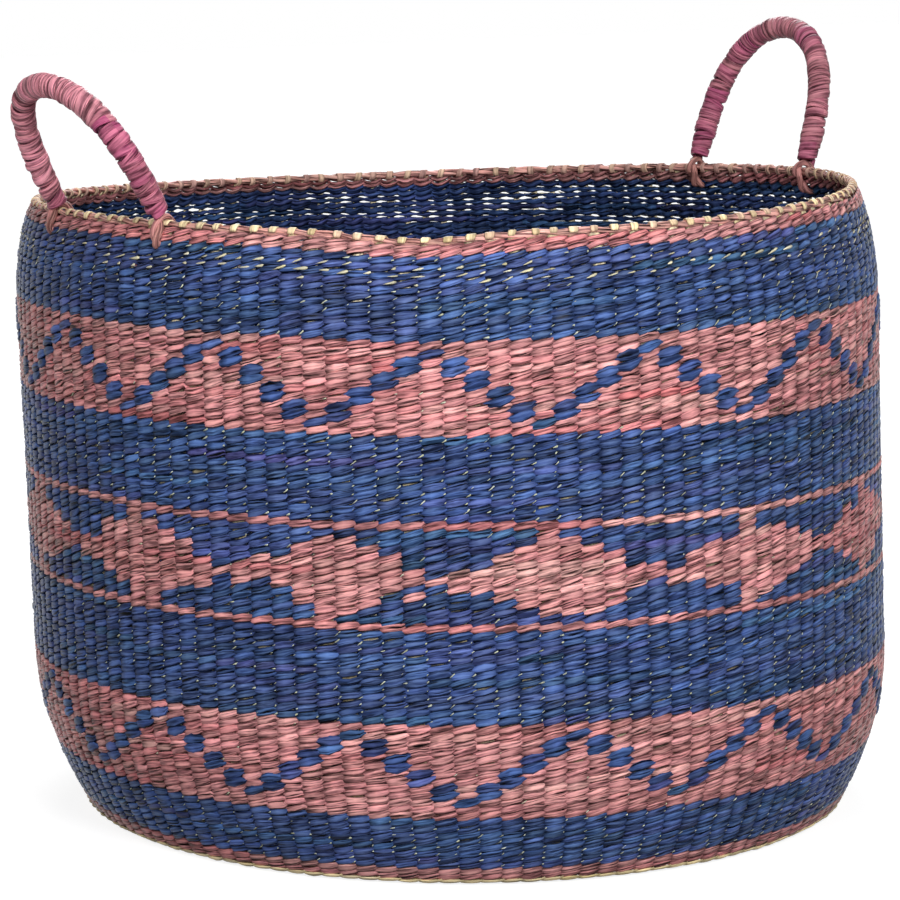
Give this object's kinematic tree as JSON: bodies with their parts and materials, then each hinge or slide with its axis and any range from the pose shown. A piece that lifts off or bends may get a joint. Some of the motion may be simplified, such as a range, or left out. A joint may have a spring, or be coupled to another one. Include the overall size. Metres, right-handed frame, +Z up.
{
  "type": "round twined basket",
  "caption": "Round twined straw basket with pink and blue bands, zigzags and diamonds, open at the top, with two wound loop handles tied to its rim.",
  "frame": {"origin": "middle of the flat base, on the surface that the basket stands on", "axes": "+Z up out of the open mouth; +X from the middle towards handle_b, and -X towards handle_a"},
  "size_m": [0.4891, 0.4517, 0.4015],
  "materials": {
    "natural_weft": "dry straw, undyed",
    "pink_weft": "dyed straw strip, satin",
    "blue_weft": "dyed straw strip, satin",
    "rim_cord": "dyed straw cord, satin",
    "straw_core": "twisted straw rope, undyed",
    "mauve_strip": "dyed straw strip, satin",
    "tie_cord": "twisted two-ply straw cord"
  },
  "bodies": {
    "basket": {"base_disc": "natural_weft", "foot_pink_band": "pink_weft", "wall_blue_foot": "blue_weft", "wall_zigzag_lower": "pink_weft", "wall_blue_lower": "blue_weft", "wall_pink_line_lower": "pink_weft", "wall_diamond_band": "pink_weft", "wall_pink_line_upper": "pink_weft", "wall_blue_upper": "blue_weft", "wall_zigzag_upper": "pink_weft", "wall_blue_top": "blue_weft", "rim_pink_band": "pink_weft", "rim_cord": "rim_cord", "handle_a_tie_1": "tie_cord", "handle_a_tie_2": "tie_cord", "handle_b_tie_1": "tie_cord", "handle_b_tie_2": "tie_cord"},
    "handle_a": {"handle_a_core": "straw_core", "handle_a_winding": "mauve_strip"},
    "handle_b": {"handle_b_core": "straw_core", "handle_b_winding": "mauve_strip"}
  },
  "joints": [
    {"name": "handle_a_swing", "type": "hinge", "parent": "basket", "child": "handle_a", "pos_m": [-0.21517, 0.00122, 0.31556], "axis": [0.0262, -0.9996, 0.0083], "range_deg": [-99, 51]},
    {"name": "handle_b_swing", "type": "hinge", "parent": "basket", "child": "handle_b", "pos_m": [0.19748, 0.00087, 0.31801], "axis": [0.0279, 0.9986, -0.0441], "range_deg": [-89, 61]}
  ]
}
